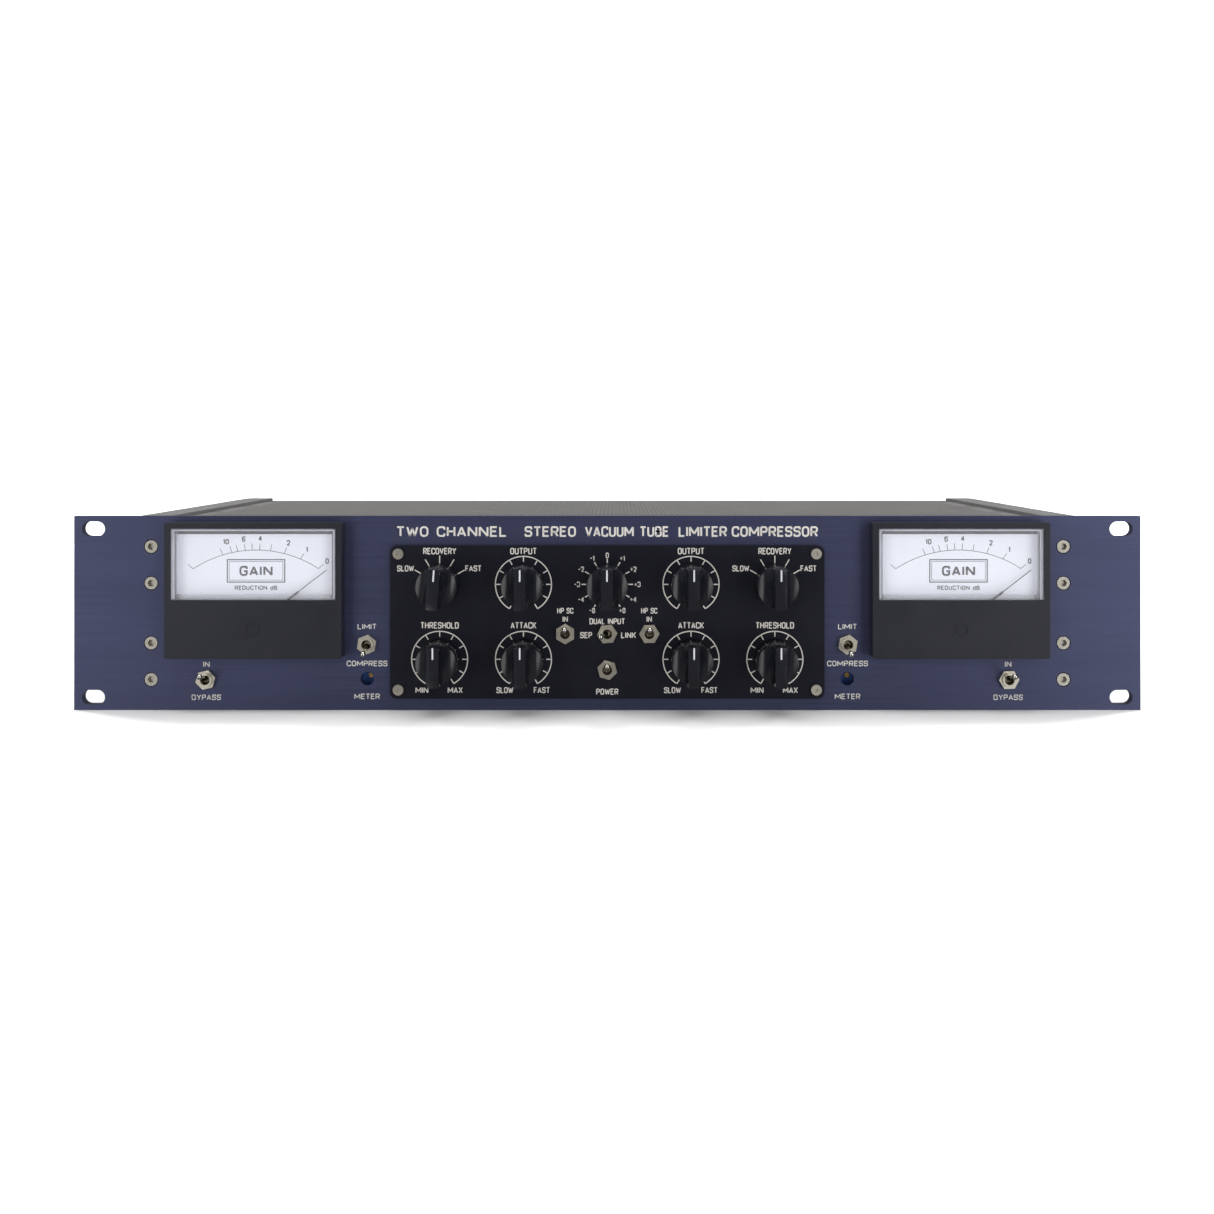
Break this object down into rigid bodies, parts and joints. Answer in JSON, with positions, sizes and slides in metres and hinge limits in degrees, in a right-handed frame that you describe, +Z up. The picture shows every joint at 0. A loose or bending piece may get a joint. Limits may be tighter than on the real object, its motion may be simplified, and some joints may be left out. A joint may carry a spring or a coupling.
{
  "type": "rack compressor",
  "caption": "Two-unit rack-mount stereo valve compressor with a slotted 19 inch panel, bar knobs, bat toggles and pointer meters.",
  "frame": {"origin": "centre of the four rack slots, on the rear face of the front panel", "axes": "+X right seen from the front, +Y towards the rear connectors, +Z up; the controls face -Y"},
  "size_m": [0.4826, 0.2528, 0.0878],
  "materials": {
    "panel_blue": "brushed blue anodised",
    "plate_black": "satin black anodised",
    "rail_grey": "bead-blasted anodised",
    "sheet_grey": "satin sheet",
    "cover_grey": "perforated sheet, satin",
    "nickel": "nickel plate",
    "black_steel": "black oxide",
    "knob_black": "moulded gloss",
    "lever_metal": "bright nickel plate",
    "case_black": "moulded satin",
    "window_clear": "clear acrylic",
    "dial_white": "printed white paint",
    "movement_metal": "machined",
    "needle_black": "black paint",
    "control_metal": "zinc plate",
    "trimmer_blue": "moulded",
    "brass": "turned",
    "winding": "taped winding",
    "can_metal": "drawn can",
    "board_green": "solder mask",
    "valve_glass": "clear glass",
    "ceramic": "glazed ceramic",
    "component_dark": "sleeved",
    "connector_black": "moulded",
    "connector_metal": "die-cast satin nickel",
    "wire_sheath": "sleeved wires"
  },
  "bodies": {
    "root": {"front_panel": "panel_blue", "control_plate": "plate_black", "side_rail_left": "rail_grey", "side_rail_right": "rail_grey", "floor_plate": "sheet_grey", "rear_panel": "sheet_grey", "top_cover": "cover_grey", "panel_screws": "nickel", "control_plate_screws": "nickel", "chassis_screws": "black_steel", "rotary_control_bodies": "control_metal", "toggle_switch_bodies": "nickel", "bushing_nuts": "nickel", "meter_trimmers": "trimmer_blue", "power_transformer": "winding", "signal_transformers": "can_metal", "circuit_board": "board_green", "vacuum_tubes": "valve_glass", "tube_sockets": "ceramic", "board_parts": "component_dark", "xlr_inputs": "connector_black", "xlr_outputs": "connector_metal", "rear_jacks": "connector_black", "power_inlet": "connector_black", "fuse_holder": "connector_black", "ground_post": "brass", "wiring_loom": "wire_sheath", "meter_case_left": "case_black", "meter_case_right": "case_black", "meter_window_left": "window_clear", "meter_window_right": "window_clear", "meter_dial_left": "dial_white", "meter_dial_right": "dial_white", "meter_movement_left": "movement_metal", "meter_movement_right": "movement_metal"},
    "knob_recovery_left": {"knob_recovery_left": "knob_black"},
    "knob_output_left": {"knob_output_left": "knob_black"},
    "knob_dual_input": {"knob_dual_input": "knob_black"},
    "knob_output_right": {"knob_output_right": "knob_black"},
    "knob_recovery_right": {"knob_recovery_right": "knob_black"},
    "knob_threshold_left": {"knob_threshold_left": "knob_black"},
    "knob_attack_left": {"knob_attack_left": "knob_black"},
    "knob_attack_right": {"knob_attack_right": "knob_black"},
    "knob_threshold_right": {"knob_threshold_right": "knob_black"},
    "lever_bypass_left": {"lever_bypass_left": "lever_metal"},
    "lever_bypass_right": {"lever_bypass_right": "lever_metal"},
    "lever_limit_left": {"lever_limit_left": "lever_metal"},
    "lever_limit_right": {"lever_limit_right": "lever_metal"},
    "lever_sidechain_left": {"lever_sidechain_left": "lever_metal"},
    "lever_sidechain_right": {"lever_sidechain_right": "lever_metal"},
    "lever_link": {"lever_link": "lever_metal"},
    "lever_power": {"lever_power": "lever_metal"},
    "needle_left": {"needle_left": "needle_black"},
    "needle_right": {"needle_right": "needle_black"},
    "trim_screw_left": {"trim_screw_left": "brass"},
    "trim_screw_right": {"trim_screw_right": "brass"},
    "xlr_latch_left": {"xlr_latch_left": "connector_metal"},
    "xlr_latch_right": {"xlr_latch_right": "connector_metal"},
    "fuse_cap": {"fuse_cap": "connector_black"},
    "ground_nut": {"ground_nut": "brass"}
  },
  "joints": [
    {"name": "knob_recovery_left_turn", "type": "hinge", "parent": "root", "child": "knob_recovery_left", "pos_m": [-0.0756, -0.00676, 0.0132], "axis": [0, 1, 0], "range_deg": [-64, 56]},
    {"name": "knob_output_left_turn", "type": "hinge", "parent": "root", "child": "knob_output_left", "pos_m": [-0.0378, -0.00676, 0.0132], "axis": [0, 1, 0], "range_deg": [-150, 150]},
    {"name": "knob_dual_input_turn", "type": "hinge", "parent": "root", "child": "knob_dual_input", "pos_m": [0, -0.00676, 0.0132], "axis": [0, 1, 0], "range_deg": [-150, 150]},
    {"name": "knob_output_right_turn", "type": "hinge", "parent": "root", "child": "knob_output_right", "pos_m": [0.0378, -0.00676, 0.0132], "axis": [0, 1, 0], "range_deg": [-150, 150]},
    {"name": "knob_recovery_right_turn", "type": "hinge", "parent": "root", "child": "knob_recovery_right", "pos_m": [0.0756, -0.00676, 0.0132], "axis": [0, 1, 0], "range_deg": [-60, 60]},
    {"name": "knob_threshold_left_turn", "type": "hinge", "parent": "root", "child": "knob_threshold_left", "pos_m": [-0.0756, -0.00676, -0.0206], "axis": [0, 1, 0], "range_deg": [-150, 150]},
    {"name": "knob_attack_left_turn", "type": "hinge", "parent": "root", "child": "knob_attack_left", "pos_m": [-0.0378, -0.00676, -0.0206], "axis": [0, 1, 0], "range_deg": [-150, 150]},
    {"name": "knob_attack_right_turn", "type": "hinge", "parent": "root", "child": "knob_attack_right", "pos_m": [0.0378, -0.00676, -0.0206], "axis": [0, 1, 0], "range_deg": [-150, 150]},
    {"name": "knob_threshold_right_turn", "type": "hinge", "parent": "root", "child": "knob_threshold_right", "pos_m": [0.0756, -0.00676, -0.0206], "axis": [0, 1, 0], "range_deg": [-150, 150]},
    {"name": "lever_bypass_left_throw", "type": "hinge", "parent": "root", "child": "lever_bypass_left", "pos_m": [-0.1814, -0.00376, -0.03], "axis": [1, 0, 0], "range_deg": [0, 28]},
    {"name": "lever_bypass_right_throw", "type": "hinge", "parent": "root", "child": "lever_bypass_right", "pos_m": [0.1814, -0.00376, -0.03], "axis": [1, 0, 0], "range_deg": [0, 28]},
    {"name": "lever_limit_left_throw", "type": "hinge", "parent": "root", "child": "lever_limit_left", "pos_m": [-0.1087, -0.00376, -0.0141], "axis": [1, 0, 0], "range_deg": [-28, 0]},
    {"name": "lever_limit_right_throw", "type": "hinge", "parent": "root", "child": "lever_limit_right", "pos_m": [0.1087, -0.00376, -0.0141], "axis": [1, 0, 0], "range_deg": [-28, 0]},
    {"name": "lever_sidechain_left_throw", "type": "hinge", "parent": "root", "child": "lever_sidechain_left", "pos_m": [-0.01895, -0.00576, -0.009], "axis": [1, 0, 0], "range_deg": [0, 28]},
    {"name": "lever_sidechain_right_throw", "type": "hinge", "parent": "root", "child": "lever_sidechain_right", "pos_m": [0.01895, -0.00576, -0.009], "axis": [1, 0, 0], "range_deg": [0, 28]},
    {"name": "lever_link_throw", "type": "hinge", "parent": "root", "child": "lever_link", "pos_m": [0, -0.00576, -0.009], "axis": [0, 0, 1], "range_deg": [0, 28]},
    {"name": "lever_power_throw", "type": "hinge", "parent": "root", "child": "lever_power", "pos_m": [0, -0.00576, -0.0252], "axis": [1, 0, 0], "range_deg": [0, 28]},
    {"name": "needle_left_swing", "type": "hinge", "parent": "root", "child": "needle_left", "pos_m": [-0.1584, -0.00896, -0.005], "axis": [0, 1, 0], "range_deg": [-104, 0], "stiffness_Nm_per_rad": 0.0001},
    {"name": "trim_screw_left_turn", "type": "hinge", "parent": "root", "child": "trim_screw_left", "pos_m": [-0.1078, 0.0008, -0.0289], "axis": [0, 1, 0], "continuous": true},
    {"name": "needle_right_swing", "type": "hinge", "parent": "root", "child": "needle_right", "pos_m": [0.1584, -0.00896, -0.005], "axis": [0, 1, 0], "range_deg": [-104, 0], "stiffness_Nm_per_rad": 0.0001},
    {"name": "trim_screw_right_turn", "type": "hinge", "parent": "root", "child": "trim_screw_right", "pos_m": [0.1094, 0.0008, -0.0289], "axis": [0, 1, 0], "continuous": true},
    {"name": "xlr_latch_left_press", "type": "slide", "parent": "root", "child": "xlr_latch_left", "axis": [0, -1, 0], "range_m": [0, 0.0015], "stiffness_N_per_m": 300},
    {"name": "xlr_latch_right_press", "type": "slide", "parent": "root", "child": "xlr_latch_right", "axis": [0, -1, 0], "range_m": [0, 0.0015], "stiffness_N_per_m": 300},
    {"name": "fuse_cap_turn", "type": "hinge", "parent": "root", "child": "fuse_cap", "pos_m": [-0.112, 0.204, 0], "axis": [0, 1, 0], "range_deg": [0, 90]},
    {"name": "ground_nut_turn", "type": "hinge", "parent": "root", "child": "ground_nut", "pos_m": [-0.072, 0.211, 0], "axis": [0, 1, 0], "continuous": true}
  ]
}
